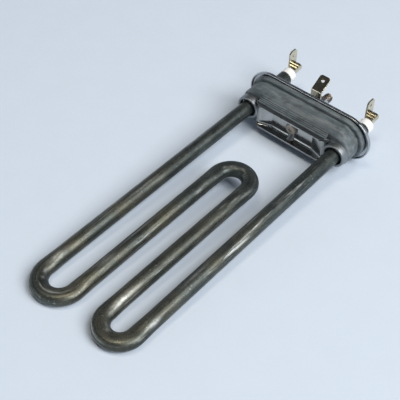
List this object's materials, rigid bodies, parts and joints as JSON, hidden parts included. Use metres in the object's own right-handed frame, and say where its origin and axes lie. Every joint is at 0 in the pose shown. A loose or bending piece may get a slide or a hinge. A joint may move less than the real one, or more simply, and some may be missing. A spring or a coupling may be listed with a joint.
{
  "type": "tubular heating element",
  "caption": "W-shaped sheathed tube heater for a wash tub, held in a rubber expansion seal between a steel flange and a pressed plate, with push-on terminals and a clamp stud.",
  "frame": {"origin": "on the clamp stud's axis, in the outer flange's outer face", "axes": "+Y along the stud, out of the tub towards the terminals; +X along the flange towards the shorter tube end; +Z across the flange, up the terminal blades; the W of the tube lies in z = 0"},
  "size_m": [0.0776, 0.2028, 0.0317],
  "materials": {
    "sheath": "annealed satin, olive grey",
    "magnesia": "pressed powder",
    "heating_wire": "oxidised wire",
    "pin_steel": "drawn",
    "seal_resin": "cast",
    "bush_ceramic": "unglazed white",
    "terminal_metal": "tin plated, bright",
    "flange_steel": "stamped, bright",
    "seal_rubber": "moulded matt, slate grey",
    "plate_steel": "bright annealed",
    "stud_steel": "rolled thread",
    "washer_steel": "zinc plated",
    "nut_steel": "zinc plated",
    "earth_metal": "tin plated, bright"
  },
  "bodies": {
    "root": {"sheath_tube": "sheath", "magnesia_core": "magnesia", "resistance_coil": "heating_wire", "cold_pin_left": "pin_steel", "cold_pin_right": "pin_steel", "end_seal_left": "seal_resin", "end_seal_right": "seal_resin", "ceramic_bush_left": "bush_ceramic", "ceramic_bush_right": "bush_ceramic", "terminal_tab_left": "terminal_metal", "terminal_tab_right": "terminal_metal", "outer_flange": "flange_steel", "rubber_seal": "seal_rubber", "inner_plate": "plate_steel", "clamp_stud": "stud_steel", "flat_washer": "washer_steel", "spring_washer": "washer_steel", "clamp_nut": "nut_steel", "earth_nut": "nut_steel", "earth_tab": "earth_metal"}
  },
  "joints": []
}
